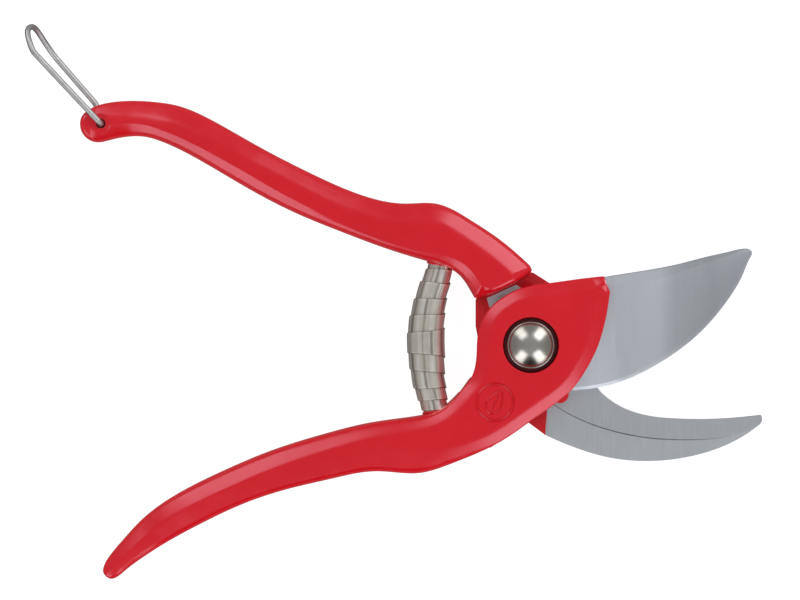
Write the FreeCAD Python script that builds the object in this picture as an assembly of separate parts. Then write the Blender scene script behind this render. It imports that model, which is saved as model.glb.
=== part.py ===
import FreeCAD, Part
import math
import os

# Bypass pruning shears lying flat on their back, open.
# Origin: the pivot axis, in the plane the shears rest on. +Z points up, along the pivot, to the bolt head.
# The jaws point along +X and the handles along -X. All sizes are in millimetres.

os.makedirs("parts", exist_ok=True)
V = FreeCAD.Vector

# ---- driving dimensions -----------------------------------------------------------------------
grip_reach = 130.8           # pivot to the end of the upper grip, along X
jaw_reach = 64.4             # pivot to the tip of the cutting blade, along X
stretch_from_grip = -40.0    # the handles grow or shrink beyond this X
stretch_from_jaw = 24.0      # the jaws grow or shrink beyond this X

# thicknesses, stacked from the resting plane upwards
nut_height = 2.6
nut_washer_height = 0.4
hub_floor = 2.4              # lever left under the hook plate
hook_thickness = 3.6
blade_gap = 0.05             # running gap between the hook and the blade
blade_thickness = 3.0
blade_land = 0.35            # flat edge left by the grinding
head_plate = 2.2             # lower lever over the blade
cover_thickness = 2.35       # moulded cover over the lower lever
grip_height = 16.2           # thickness of both grips
tip_height = 10.0            # thickness of both grips at their ends

# pivot
bolt_r = 4.0
bolt_head_r = 6.9
bolt_rim = 1.0
bolt_dome = 2.5
bush_wall = 1.0
run_fit = 0.05               # radial running clearance
head_washer_r = 7.4
head_washer_height = 0.6
recess_r = 8.05
nut_r = 7.2
nut_teeth = 28
tooth_depth = 0.55
nut_washer_r = 7.9
hub_r = 15.4
shoulder_gap = 1.8           # hub to the shoulder of the lower lever
tang_rim_r = 13.4            # round the pivot, where the hook plate ends

# lock plate of the pivot nut
lock_angle = 200.0           # degrees round the pivot
lock_screw_at = 11.6
lock_width = 6.4
lock_outer_r = 14.6
lock_thickness = 1.4
lock_clearance = 0.15
lock_screw_r = 1.5
lock_screw_head_r = 2.6
lock_screw_head = 1.3

# rivets
hook_rivet_r = 2.0
hook_rivets_at = [(-7.2, 12.0), (6.2, -14.0)]
blade_rivet_r = 1.8
blade_rivets_at = [(11.6, 6.6), (-11.0, 1.6)]
dowel_r = 1.5                # locates the blade on its lever
dowel_at = (-3.0, -11.2)

# lever tangs inside the grips
tang_height = 7.4

# spring
spring_wall = 1.2            # the strip is laid double wherever its turns overlap
spring_end_gap = 0.3
peg_r = 1.1
peg_out = 3.2
peg_in = 4.4
band_overlap = 0.6
seat_boss_r = 3.6            # moulded boss under each end of the spring
seat_boss_depth = 5.0

# wire bail
wire_r = 0.85
bail_hole_r = 1.4
bail_side_gap = 0.15         # wire to the flat of the grip
bail_end_in = 3.0            # wire end inside the hole
bail_bend_r = 1.6
bail_loop_r = 3.4

# emblem ring sunk in the cover
emblem_at = (-10.4, -16.5)
emblem_r = 5.5
emblem_groove = 0.7
emblem_depth = 0.35

# ---- levels and positions that follow ----------------------------------------------------------
z_hub = nut_height + nut_washer_height
z_hook = z_hub + hub_floor
z_hook_top = z_hook + hook_thickness
z_blade = z_hook_top + blade_gap
z_blade_top = z_blade + blade_thickness
z_cover = z_blade_top + head_plate
z_top = z_cover + cover_thickness
z_mid = grip_height / 2
grip_half = grip_height / 2
tip_half = tip_height / 2
tang_low = z_mid - tang_height / 2
tang_high = z_mid + tang_height / 2

GRIP_REACH_DRAWN = 130.8
JAW_REACH_DRAWN = 64.4
grip_stretch = (grip_reach + stretch_from_grip) / (GRIP_REACH_DRAWN + stretch_from_grip)
jaw_stretch = (jaw_reach - stretch_from_jaw) / (JAW_REACH_DRAWN - stretch_from_jaw)


# ---- helpers ------------------------------------------------------------------------------------
def placed(p):
    """A drawn point, moved along X when the handles or the jaws are longer or shorter."""
    x, y = p[0], p[1]
    if x < stretch_from_grip:
        x = stretch_from_grip + (x - stretch_from_grip) * grip_stretch
    if x > stretch_from_jaw:
        x = stretch_from_jaw + (x - stretch_from_jaw) * jaw_stretch
    return (x, y)


def at(p, z):
    x, y = placed(p)
    return V(x, y, z)


def polar(r, degrees):
    a = math.radians(degrees)
    return (r * math.cos(a), r * math.sin(a))


def curve(points, z):
    """A smooth curve through the points."""
    spline = Part.BSplineCurve()
    spline.interpolate([at(p, z) for p in points])
    return spline.toShape()


def outline(z, start, *steps):
    """A closed wire. A step of one point is a line, of two an arc, of more a smooth curve."""
    edges = []
    here = start
    for step in steps:
        if len(step) == 1:
            edges.append(Part.LineSegment(at(here, z), at(step[0], z)).toShape())
        elif len(step) == 2:
            edges.append(Part.Arc(at(here, z), at(step[0], z), at(step[1], z)).toShape())
        else:
            edges.append(curve([here] + list(step), z))
        here = step[-1]
    if here != start:
        edges.append(Part.LineSegment(at(here, z), at(start, z)).toShape())
    return Part.Wire(edges)


def plate(wire, height):
    return Part.Face(wire).extrude(V(0, 0, height))


def disc(r, z, height, centre=(0, 0)):
    x, y = placed(centre)
    return Part.makeCylinder(r, height, V(x, y, z))


def section(upper, lower, half):
    """A rounded grip section between two outline points, as a closed smooth wire."""
    a = at(upper, z_mid)
    b = at(lower, z_mid)
    centre = (a + b) * 0.5
    across = (a - b) * 0.5
    up = V(0, 0, half)
    corner = 0.79
    ring = [(1, 0), (corner, corner), (0, 1), (-corner, corner),
            (-1, 0), (-corner, -corner), (0, -1), (corner, -corner)]
    spline = Part.BSplineCurve()
    spline.interpolate(Points=[centre + across * u + up * v for u, v in ring], PeriodicFlag=True)
    return Part.Wire([spline.toShape()])


def lofted_grip(sections):
    return Part.makeLoft([section(*s) for s in sections], True, False)


def rounded_path(points, radii):
    """Straight runs joined by tangent arcs, one radius for each inner point."""
    edges = []
    here = points[0]
    for i in range(1, len(points) - 1):
        corner = points[i]
        into = (points[i - 1] - corner).normalize()
        out = (points[i + 1] - corner).normalize()
        half = into.getAngle(out) / 2
        reach = radii[i - 1] / math.tan(half)
        first = corner + into * reach
        last = corner + out * reach
        bisector = (into + out).normalize()
        middle = corner + bisector * (radii[i - 1] / math.sin(half) - radii[i - 1])
        edges.append(Part.LineSegment(here, first).toShape())
        edges.append(Part.Arc(first, middle, last).toShape())
        here = last
    edges.append(Part.LineSegment(here, points[-1]).toShape())
    return Part.Wire(edges)


def toothed_disc(r, z, height):
    points = []
    for i in range(nut_teeth):
        step = 360.0 / nut_teeth
        points.append(V(*polar(r, i * step), z))
        points.append(V(*polar(r - tooth_depth, (i + 0.5) * step), z))
    points.append(points[0])
    return plate(Part.makePolygon(points), height)


def rivet(centre, r, z0, z1):
    """A flush rivet, its two ends spread into shallow countersinks."""
    spread = 0.8
    x, y = placed(centre)
    low = Part.makeCone(r + spread, r, spread, V(x, y, z0))
    high = Part.makeCone(r, r + spread, spread, V(x, y, z1 - spread))
    return disc(r, z0, z1 - z0, centre).fuse([low, high]).removeSplitter()


# ---- outlines -----------------------------------------------------------------------------------
# each pair is the upper and the lower edge of the grip, then half the thickness there
UPPER_GRIP = [
    ((-122.5, 70.2), (-122.5, 59.0), tip_half),
    ((-113.0, 70.7), (-113.5, 60.1), tip_half),
    ((-103.0, 69.7), (-107.4, 59.1), tip_half + 1.1),
    ((-91.5, 64.8), (-97.0, 54.2), grip_half - 0.9),
    ((-78.4, 57.4), (-84.5, 46.9), grip_half),
    ((-64.0, 50.0), (-69.2, 38.8), grip_half),
    ((-49.4, 43.7), (-55.2, 33.0), grip_half),
    ((-36.0, 41.1), (-40.0, 27.4), grip_half),
    ((-26.0, 40.5), (-29.0, 24.1), grip_half),
    ((-17.5, 36.4), (-20.8, 20.5), grip_half),
    ((-8.8, 30.6), (-17.6, 16.2), grip_half),
    ((1.3, 21.8), (-16.0, 13.3), grip_half),
]
UPPER_NOSE = (-125.0, 64.9)
upper_nose_r = 5.8
BAIL_HOLE = (-124.6, 64.2)

LOWER_GRIP = [
    ((-124.2, -66.0), (-122.2, -68.1), tip_half - 2.6),
    ((-122.6, -62.0), (-118.6, -66.3), tip_half - 0.6),
    ((-119.0, -57.3), (-113.5, -62.4), tip_half),
    ((-113.2, -51.0), (-107.4, -58.4), tip_half),
    ((-101.6, -42.7), (-95.8, -52.0), tip_half + 1.6),
    ((-90.0, -36.9), (-84.2, -46.5), grip_half - 0.4),
    ((-75.0, -30.6), (-71.0, -42.0), grip_half),
    ((-60.0, -25.9), (-57.5, -38.8), grip_half),
    ((-46.0, -22.5), (-44.5, -36.8), grip_half),
    ((-34.0, -20.8), (-32.5, -37.5), grip_half),
    ((-26.5, -18.7), (-23.5, -34.7), grip_half),
    ((-20.6, -13.6), (-11.7, -29.6), grip_half),
]


def head_wire(z):
    return outline(z, (-26.5, -18.7),
                   [(-20.2, -13.3), (-17.3, -9.5), (-15.7, -2.5), (-15.4, 2.6)],
                   [(-11.9, 10.6), (-8.6, 13.5), (-2.7, 16.5), (5.6, 18.0)],
                   [(21.3, 20.0)],
                   [(22.2, 16.8)],
                   [(23.0, 15.6)],
                   [(22.2, 10.0), (19.1, -1.2), (12.1, -12.7), (0.3, -21.8), (-11.7, -29.6), (-20.4, -33.4)])


def hook_wire(z):
    return outline(z, (4.3, -26.2),
                   [(11.5, -29.3), (23.1, -32.8), (34.7, -33.8), (46.3, -32.5), (57.9, -28.7), (66.4, -23.4)],
                   [(67.4, -21.8), (67.1, -20.4)],
                   [(55.0, -21.5), (43.4, -21.5), (31.8, -20.0), (26.0, -17.7), (20.2, -13.3)],
                   [(14.6, -5.6)],
                   [(14.2, 3.6), polar(tang_rim_r, 82.0)],
                   [(-2.7, 16.6)],
                   [(-4.1, 17.5)],
                   [(-12.6, 13.6)],
                   [(-11.7, 10.3)],
                   [polar(tang_rim_r, 165.0)],
                   [polar(tang_rim_r, 215.0), polar(tang_rim_r, 250.0)],
                   [(4.9, -19.0)])


def blade_wire(z):
    """The blade's outline at its back face."""
    return outline(z, (6.0, 16.9),
                   [(22.2, 19.9)],
                   [(43.4, 23.5), (56.0, 26.6), (62.2, 28.1)],
                   [(64.1, 27.6), (63.7, 25.2)],
                   [(57.9, 13.9), (49.2, 3.5), (37.6, -5.2), (26.0, -10.7), (12.0, -12.8)],
                   [polar(15.0, 282.0)],
                   [polar(15.0, 190.0), polar(15.0, 98.0)])


def ground_wire(z):
    """The blade's outline at its front face, where the grinding starts."""
    return outline(z, (6.0, 16.2),
                   [(22.2, 19.1)],
                   [(43.4, 22.6), (54.0, 25.0), (59.0, 26.3)],
                   [(59.7, 26.0), (59.4, 25.2)],
                   [(53.0, 18.6), (44.0, 10.5), (33.0, 2.6), (22.0, -4.2), (12.0, -10.5)],
                   [polar(14.0, 282.0)],
                   [polar(14.0, 190.0), polar(14.0, 98.0)])


# ---- hook half: the upper handle and the hook behind it ---------------------------------------
def hook_blade():
    body = plate(hook_wire(z_hook), hook_thickness)
    body = body.cut(disc(bolt_r, z_hook - 1, hook_thickness + 2))
    for centre in hook_rivets_at:
        body = body.cut(rivet(centre, hook_rivet_r, z_hub, z_hook_top))
    return body


def upper_tang():
    wire = outline(tang_low, (-3.0, 20.6),
                   [(-14.0, 29.6), (-30.0, 35.6), (-50.0, 40.6), (-74.0, 52.2), (-96.0, 63.4), (-112.0, 68.2)],
                   [(-112.0, 63.4)],
                   [(-97.0, 58.4), (-75.0, 45.8), (-51.0, 34.6), (-32.0, 28.6), (-20.0, 24.4), (-11.5, 16.4)])
    return plate(wire, tang_height)


def upper_neck():
    return plate(outline(z_hub, (-13.2, 17.2), [(-15.8, 13.2)], [(-15.8, 5.5)], [(-15.2, 2.2)], [(0, 0)],
                         [(11.0, 10.7)], [(5.6, 18.0)], [(0.9, 21.0)], [(-3.0, 21.4)]), z_hook_top - z_hub)


def upper_lever():
    height = z_hook_top - z_hub
    hub = disc(hub_r, z_hub, height)
    root = plate(outline(z_hub, (-3.0, -14.4), [(-1.6, -21.8)], [(4.2, -26.1)], [(11.5, -29.0)],
                         [(15.6, -20.0)], [(14.0, -6.0)], [(0, 0)]), height)
    body = hub.fuse([upper_neck(), root])
    body = body.cut(plate(hook_wire(z_hook), hook_thickness + 1))
    front = plate(outline(z_hook, (4.9, -19.0), [(20.0, -10.0)], [(20.0, -32.0)], [(4.3, -32.0)],
                          [(4.3, -26.2)]), hook_thickness + 1)
    body = body.cut(front)
    body = body.fuse(upper_tang()).removeSplitter()
    body = body.cut(disc(bolt_r, z_hub - 1, height + 2))
    for centre in hook_rivets_at:
        body = body.cut(rivet(centre, hook_rivet_r, z_hub, z_hook_top))
    body = body.cut(lock_screw())
    return body.cut(spring_peg(UPPER_SEAT, 1))


def upper_grip():
    nose = disc(upper_nose_r, z_mid - tip_half, tip_height, UPPER_NOSE)
    nose = nose.makeFillet(2.4, [e for e in nose.Edges if e.Closed])
    body = lofted_grip(UPPER_GRIP).fuse([nose, seat_boss(UPPER_SEAT, 1)])
    body = body.cut(disc(bail_hole_r, -1, z_top + 2, BAIL_HOLE))
    body = body.cut(upper_tang()).cut(upper_neck())
    return body.cut(spring_peg(UPPER_SEAT, 1))


def hook_rivets():
    return Part.makeCompound([rivet(c, hook_rivet_r, z_hub, z_hook_top) for c in hook_rivets_at])


def pivot_bolt():
    low = z_cover + run_fit + head_washer_height
    shoulder = low + bolt_rim
    top = shoulder + bolt_dome
    step = bolt_head_r - 0.5
    points = [V(0, 0, 0), V(bolt_r, 0, 0), V(bolt_r, 0, low), V(bolt_head_r, 0, low),
              V(bolt_head_r, 0, shoulder), V(step, 0, shoulder)]
    edges = [Part.LineSegment(a, b).toShape() for a, b in zip(points, points[1:])]
    # the dome is a slice of a ball through the step and the top
    ball_r = (step ** 2 + bolt_dome ** 2) / (2 * bolt_dome)
    half = math.asin(step / ball_r) / 2
    middle = V(ball_r * math.sin(half), 0, top - ball_r + ball_r * math.cos(half))
    edges.append(Part.Arc(points[-1], middle, V(0, 0, top)).toShape())
    edges.append(Part.LineSegment(V(0, 0, top), V(0, 0, 0)).toShape())
    return Part.Face(Part.Wire(edges)).revolve(V(0, 0, 0), V(0, 0, 1), 360)


def head_washer():
    ring = disc(head_washer_r, z_cover + run_fit, head_washer_height)
    return ring.cut(disc(bolt_r, z_cover, head_washer_height + 1))


def nut_washer():
    ring = disc(nut_washer_r, nut_height, nut_washer_height)
    return ring.cut(disc(bolt_r, nut_height - 1, nut_washer_height + 2))


def pivot_nut():
    return toothed_disc(nut_r, 0, nut_height).cut(disc(bolt_r, -1, nut_height + 2))


def lock_plate():
    bar = Part.makeBox(lock_outer_r, lock_width, lock_thickness, V(0, -lock_width / 2, z_hub - lock_thickness))
    bar.rotate(V(0, 0, 0), V(0, 0, 1), lock_angle)
    bar = bar.common(disc(lock_outer_r, 0, z_hub))
    bar = bar.cut(toothed_disc(nut_r + lock_clearance, -1, nut_height + 1))
    bar = bar.cut(disc(nut_washer_r + lock_clearance, nut_height, nut_washer_height))
    return bar.cut(lock_screw())


def lock_screw():
    centre = polar(lock_screw_at, lock_angle)
    low = z_hub - lock_thickness
    head = disc(lock_screw_head_r, low - lock_screw_head, lock_screw_head, centre)
    slot = Part.makeBox(lock_screw_head_r * 2 + 1, 0.8, 0.7,
                        V(centre[0] - lock_screw_head_r - 0.5, centre[1] - 0.4, low - lock_screw_head))
    return head.fuse(disc(lock_screw_r, low, lock_thickness + hub_floor, centre)).cut(slot).removeSplitter()


# ---- blade half: the lower handle, its cover and the cutting blade ----------------------------
def cutting_blade():
    land = plate(blade_wire(z_blade), blade_land)
    ground = Part.makeLoft([blade_wire(z_blade + blade_land), ground_wire(z_blade_top)], True, True)
    body = land.fuse(ground)
    body = body.cut(disc(bolt_r + run_fit + bush_wall, z_blade - 1, blade_thickness + 2))
    for centre in blade_rivets_at:
        body = body.cut(rivet(centre, blade_rivet_r, z_blade, z_cover))
    return body.cut(blade_dowel())


def lower_shoulder():
    r = hub_r + shoulder_gap
    return plate(outline(z_hub, polar(r, 208.0), [polar(r, 232.0), polar(r, 254.0)], [(-3.4, -21.6)],
                         [(-4.6, -24.8)], [(-11.4, -29.7)], [(-22.0, -32.0)], [(-24.6, -20.6)], [(-20.2, -13.4)],
                         [(-17.6, -9.8)]), z_blade_top - z_hub)


def lower_tang():
    wire = outline(tang_low, (-19.0, -17.0),
                   [(-32.0, -25.4), (-50.0, -28.4), (-75.0, -33.6), (-98.0, -44.0), (-112.0, -54.0)],
                   [(-108.5, -56.6)],
                   [(-95.0, -48.4), (-73.0, -38.6), (-50.0, -34.0), (-32.0, -31.6), (-17.0, -27.0)])
    return plate(wire, tang_height)


def lower_lever():
    inset = 0.5
    plate_wire = outline(z_blade_top, (-21.0, -15.0),
                         [(-16.9, -9.5), (-15.2, -2.5), (-14.9, 2.6)],
                         [(-11.5, 10.3), (-8.3, 13.0), (-2.5, 16.0), (5.6, 18.0 - inset)],
                         [(21.0, 20.0 - inset)],
                         [(22.0, 15.6)],
                         [(21.6, 10.0), (18.6, -1.2), (11.7, -12.3), (0.1, -21.2), (-11.7, -29.2)])
    head = plate(plate_wire, head_plate)
    nub = disc(2.5, z_blade_top, head_plate, (8.5, -14.3))
    body = head.fuse([nub, lower_shoulder(), lower_tang()]).removeSplitter()
    body = body.cut(disc(bolt_r + run_fit + bush_wall, z_blade_top - 1, head_plate + 2))
    for centre in blade_rivets_at:
        body = body.cut(rivet(centre, blade_rivet_r, z_blade, z_cover))
    return body.cut(blade_dowel()).cut(spring_peg(LOWER_SEAT, -1))


def lower_grip():
    cover = plate(head_wire(z_cover), cover_thickness)
    cover = cover.cut(disc(recess_r, z_cover - 1, cover_thickness + 2))
    ring = disc(emblem_r, z_top - emblem_depth, emblem_depth + 1, emblem_at)
    ring = ring.cut(disc(emblem_r - emblem_groove, z_top - 1, 3, emblem_at))
    body = lofted_grip(LOWER_GRIP).fuse([cover, seat_boss(LOWER_SEAT, -1)])
    body = body.cut(ring)
    body = body.cut(lower_lever())
    return body.cut(spring_peg(LOWER_SEAT, -1))


def blade_rivets():
    return Part.makeCompound([rivet(c, blade_rivet_r, z_blade, z_cover) for c in blade_rivets_at])


def blade_dowel():
    return disc(dowel_r, z_blade, z_cover - z_blade, dowel_at)


def pivot_bush():
    bush = disc(bolt_r + run_fit + bush_wall, z_blade, z_cover - z_blade)
    return bush.cut(disc(bolt_r + run_fit, z_blade - 1, z_cover - z_blade + 2))


# ---- spring between the handles -----------------------------------------------------------------
# axis of the spring from the upper grip to the lower one, and the radius of each turn
SPRING_AXIS = [(-26.4, 22.3), (-27.1, 19.3), (-28.5, 15.7), (-29.8, 11.2), (-30.5, 6.2), (-30.7, 0.6),
               (-30.5, -5.0), (-29.9, -10.2), (-29.0, -14.4), (-27.9, -17.6)]
SPRING_R = [3.0, 4.0, 4.4, 4.85, 5.2, 5.5, 5.1, 4.6, 4.0]
UPPER_SEAT = SPRING_AXIS[0]
LOWER_SEAT = SPRING_AXIS[-1]


def spring_peg(seat, side):
    """The peg that holds one end of the spring, pressed into its handle."""
    return Part.makeCylinder(peg_r, peg_in + peg_out, V(seat[0], seat[1] - side * peg_out, z_mid), V(0, side, 0))


def seat_boss(seat, side):
    """The boss moulded on a grip where the spring stands."""
    return Part.makeCylinder(seat_boss_r, seat_boss_depth, V(seat[0], seat[1], z_mid), V(0, side, 0))


def volute_spring():
    bands = []
    for a, b, r in zip(SPRING_AXIS, SPRING_AXIS[1:], SPRING_R):
        low = V(a[0], a[1], z_mid)
        step = V(b[0], b[1], z_mid) - low
        along = V(step.x, step.y, step.z).normalize()
        start = low - along * band_overlap
        length = step.Length + 2 * band_overlap
        tube = Part.makeCylinder(r, length, start, along)
        bands.append(tube.cut(Part.makeCylinder(r - spring_wall, length, start, along)))
    body = bands[0].fuse(bands[1:])
    # the ends stop short of the grips
    for seat, side in ((UPPER_SEAT, 1), (LOWER_SEAT, -1)):
        x, y = seat
        low_y = y - spring_end_gap if side > 0 else y + spring_end_gap - 20
        body = body.cut(Part.makeBox(30, 20, 30, V(x - 15, low_y, z_mid - 15)))
    return body.removeSplitter()


# ---- wire bail on the end of the upper grip ----------------------------------------------------
def wire_bail():
    x, y = placed(BAIL_HOLE)
    front = z_mid + tip_half + bail_side_gap + wire_r
    back = z_mid - tip_half - bail_side_gap - wire_r

    def off(dx, dy, z):
        return V(x + dx, y + dy, z)

    points = [off(0, 0, z_mid + tip_half - bail_end_in), off(0, 0, front),
              off(-19.9, 20.5, front), off(-22.2, 28.8, front),
              off(-17.9, 27.2, back), off(-14.2, 19.7, back), off(-2.2, 6.2, back),
              off(0, 0, back), off(0, 0, z_mid - tip_half + bail_end_in)]
    radii = [bail_bend_r, 5.0, bail_loop_r, bail_loop_r, 5.0, 4.0, bail_bend_r]
    path = rounded_path(points, radii)
    ring = Part.Wire([Part.makeCircle(wire_r, points[0], V(0, 0, 1))])
    return path.makePipeShell([ring], True, True)


NODES = {
    "hook_blade": hook_blade,
    "upper_lever": upper_lever,
    "upper_grip": upper_grip,
    "hook_rivets": hook_rivets,
    "pivot_bolt": pivot_bolt,
    "head_washer": head_washer,
    "nut_washer": nut_washer,
    "pivot_nut": pivot_nut,
    "lock_plate": lock_plate,
    "lock_screw": lock_screw,
    "cutting_blade": cutting_blade,
    "lower_lever": lower_lever,
    "lower_grip": lower_grip,
    "blade_rivets": blade_rivets,
    "blade_dowel": blade_dowel,
    "pivot_bush": pivot_bush,
    "volute_spring": volute_spring,
    "wire_bail": wire_bail,
}

for name, make in NODES.items():
    shape = make()
    shape.exportStep("parts/" + name + ".step")
for name, seat, side in (("upper_spring_peg", UPPER_SEAT, 1), ("lower_spring_peg", LOWER_SEAT, -1)):
    spring_peg(seat, side).exportStep("parts/" + name + ".step")
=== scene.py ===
"""Bypass pruning shears, open and lying on their back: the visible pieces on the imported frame.

Shapes are given in millimetres about the pivot and turned into metres when a mesh is made.
"""
import math

import bmesh
import bpy
import numpy as np
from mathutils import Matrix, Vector


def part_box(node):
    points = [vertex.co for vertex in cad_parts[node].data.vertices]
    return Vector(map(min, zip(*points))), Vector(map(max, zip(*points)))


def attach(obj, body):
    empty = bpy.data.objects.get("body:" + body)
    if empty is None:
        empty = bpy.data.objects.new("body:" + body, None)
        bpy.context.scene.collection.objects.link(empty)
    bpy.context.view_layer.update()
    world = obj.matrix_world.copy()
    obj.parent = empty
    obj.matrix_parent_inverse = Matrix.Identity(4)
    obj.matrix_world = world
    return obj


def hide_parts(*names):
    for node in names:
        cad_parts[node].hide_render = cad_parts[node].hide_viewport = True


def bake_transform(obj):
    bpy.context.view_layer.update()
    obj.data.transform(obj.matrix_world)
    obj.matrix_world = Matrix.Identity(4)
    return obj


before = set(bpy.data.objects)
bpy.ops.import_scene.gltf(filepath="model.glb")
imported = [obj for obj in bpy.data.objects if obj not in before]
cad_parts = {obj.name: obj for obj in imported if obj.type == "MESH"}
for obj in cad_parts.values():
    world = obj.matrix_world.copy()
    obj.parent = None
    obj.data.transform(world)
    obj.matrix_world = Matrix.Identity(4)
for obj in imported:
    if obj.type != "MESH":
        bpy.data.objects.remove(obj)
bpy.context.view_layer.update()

MM = 0.001
ROOT_BODY = "hook_half"
MOVING_BODY = "blade_half"


# ---- levels, read from the frame --------------------------------------------------------------
def low_of(node):
    """The height of a node's underside."""
    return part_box(node)[0].z / MM


def high_of(node):
    """The height of a node's top."""
    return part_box(node)[1].z / MM


grip_middle = (low_of("upper_grip") + high_of("upper_grip")) / 2
cover_underside = high_of("lower_lever")
cover_top = high_of("lower_grip")
hook_top = high_of("hook_blade")
blade_back = low_of("cutting_blade")
blade_front = high_of("cutting_blade")
bolt_top = high_of("pivot_bolt")
bolt_seat = high_of("head_washer")
bolt_head_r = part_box("pivot_bolt")[1].x / MM


# ---- curves and plain shapes --------------------------------------------------------------------
def polar(radius, degrees):
    """A point at a radius and angle round the pivot."""
    a = math.radians(degrees)
    return (radius * math.cos(a), radius * math.sin(a))


def smooth_curve(points):
    """A smooth curve through the points, read by a fractional index along them."""
    p = np.array(points, float).reshape(len(points), -1)
    chords = np.linalg.norm(np.diff(p, axis=0), axis=1)
    knots = np.concatenate([[0.0], np.cumsum(np.maximum(chords, 1e-6))])
    h = np.diff(knots)
    matrix = np.eye(len(p))
    pull = np.zeros_like(p)
    for i in range(1, len(p) - 1):
        matrix[i, i - 1:i + 2] = h[i - 1], 2 * (h[i - 1] + h[i]), h[i]
        pull[i] = 6 * ((p[i + 1] - p[i]) / h[i] - (p[i] - p[i - 1]) / h[i - 1])
    bend = np.linalg.solve(matrix, pull)

    def read(index):
        s = np.interp(index, np.arange(len(p)), knots)
        i = np.clip(np.searchsorted(knots, s) - 1, 0, len(p) - 2)
        w = h[i][:, None]
        before = s[:, None] - knots[i][:, None]
        after = knots[i + 1][:, None] - s[:, None]
        curved = (bend[i] * after ** 3 + bend[i + 1] * before ** 3) / (6 * w)
        straight = (p[i] / w - bend[i] * w / 6) * after + (p[i + 1] / w - bend[i + 1] * w / 6) * before
        return curved + straight
    return read


def even_stations(read, last, count, fine_end=0.0):
    """Fractional indices that lie evenly along a curve, closer together over its last stretch."""
    fine = np.linspace(0, last, 2000)
    steps = np.linalg.norm(np.diff(read(fine), axis=0), axis=1)
    along = np.concatenate([[0.0], np.cumsum(steps)])
    places = np.linspace(0, along[-1] - fine_end, count)
    if fine_end:
        closing = along[-1] - fine_end * np.cos(np.linspace(0, math.pi / 2, 18))[1:]
        places = np.concatenate([places, closing])
    return np.interp(places, along, fine)


def distance_to(points, line):
    """Distance from each point to a line of short straight runs."""
    start, run = line[:-1], np.diff(line, axis=0)
    length = np.maximum((run ** 2).sum(1), 1e-12)
    nearest = np.empty(len(points))
    for i in range(0, len(points), 2000):
        p = points[i:i + 2000, None, :] - start
        t = np.clip((p * run).sum(2) / length, 0, 1)
        nearest[i:i + 2000] = np.linalg.norm(p - run * t[..., None], axis=2).min(1)
    return nearest


def make_piece(name, vertices, faces, merge=2e-6):
    """A closed mesh from millimetre points, its doubles merged and its faces turned outwards."""
    mesh = bpy.data.meshes.new(name)
    mesh.from_pydata((np.asarray(vertices) * MM).tolist(), [], faces)
    bm = bmesh.new()
    bm.from_mesh(mesh)
    bmesh.ops.remove_doubles(bm, verts=bm.verts, dist=merge)
    bmesh.ops.dissolve_degenerate(bm, edges=bm.edges, dist=merge / 4)
    bmesh.ops.recalc_face_normals(bm, faces=bm.faces)
    bm.to_mesh(mesh)
    bm.free()
    piece = bpy.data.objects.new(name, mesh)
    bpy.context.scene.collection.objects.link(piece)
    return piece


def grids(name, patches):
    """One closed piece from patches, each a grid of points."""
    vertices, faces = [], []
    for patch in patches:
        rows, columns = patch.shape[:2]
        first = sum(len(v) for v in vertices)
        n = first + np.arange(rows * columns).reshape(rows, columns)
        quads = np.stack([n[:-1, :-1], n[1:, :-1], n[1:, 1:], n[:-1, 1:]], axis=-1)
        vertices.append(patch.reshape(-1, 3))
        faces += quads.reshape(-1, 4).tolist()
    return make_piece(name, np.concatenate(vertices), faces)


def swept(name, rings, loop=False):
    """A closed piece from a row of closed rings. The ends are capped unless the row is a loop."""
    count, sides = rings.shape[:2]
    n = np.arange(count * sides).reshape(count, sides)
    here = n if loop else n[:-1]
    after = np.roll(n, -1, axis=0) if loop else n[1:]
    quads = np.stack([here, np.roll(here, -1, 1), np.roll(after, -1, 1), after], axis=-1)
    faces = quads.reshape(-1, 4).tolist()
    if not loop:
        faces += [n[0].tolist()[::-1], n[-1].tolist()]
    return make_piece(name, rings.reshape(-1, 3), faces)


def frames_along(points, loop=False):
    """Two directions square to a path at each of its points, with no twist between them."""
    if loop:
        forward = np.roll(points, -1, 0) - np.roll(points, 1, 0)
    else:
        forward = np.gradient(points, axis=0)
    forward /= np.linalg.norm(forward, axis=1)[:, None]
    side = np.zeros_like(points)
    guess = np.array([0.0, 0.0, 1.0]) if abs(forward[0][2]) < 0.9 else np.array([1.0, 0.0, 0.0])
    for i, f in enumerate(forward):
        guess = guess - f * (guess @ f)
        guess /= np.linalg.norm(guess)
        side[i] = guess
    return side, np.cross(forward, side)


def round_bar(name, points, radius, sides=16, loop=False):
    """A round bar along a path."""
    points = np.asarray(points, float)
    side, up = frames_along(points, loop)
    a = np.linspace(0, 2 * math.pi, sides, endpoint=False)
    ring = side[:, None, :] * np.cos(a)[:, None] + up[:, None, :] * np.sin(a)[:, None]
    radii = np.broadcast_to(np.asarray(radius, float), len(points))
    return swept(name, points[:, None, :] + ring * radii[:, None, None], loop)


def turned(name, profile, centre=(0.0, 0.0, 0.0), axis=(0.0, 0.0, 1.0), sides=128):
    """A turned piece. The profile's points are a radius and a height along the axis."""
    profile = np.array(profile, float)
    axis = np.array(axis, float) / np.linalg.norm(axis)
    guess = np.array([1.0, 0.0, 0.0]) if abs(axis[0]) < 0.9 else np.array([0.0, 1.0, 0.0])
    side = guess - axis * (guess @ axis)
    side /= np.linalg.norm(side)
    up = np.cross(axis, side)
    a = np.linspace(0, 2 * math.pi, sides, endpoint=False)
    ring = side * np.cos(a)[:, None] + up * np.sin(a)[:, None]
    rings = profile[:, 0, None, None] * ring + profile[:, 1, None, None] * axis + np.array(centre)
    return swept(name, rings)


def arc_points(centre, radius, start, end, count):
    """Points of an arc in a profile, angles in degrees."""
    a = np.radians(np.linspace(start, end, count))
    return [(centre[0] + radius * math.cos(x), centre[1] + radius * math.sin(x)) for x in a]


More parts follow.
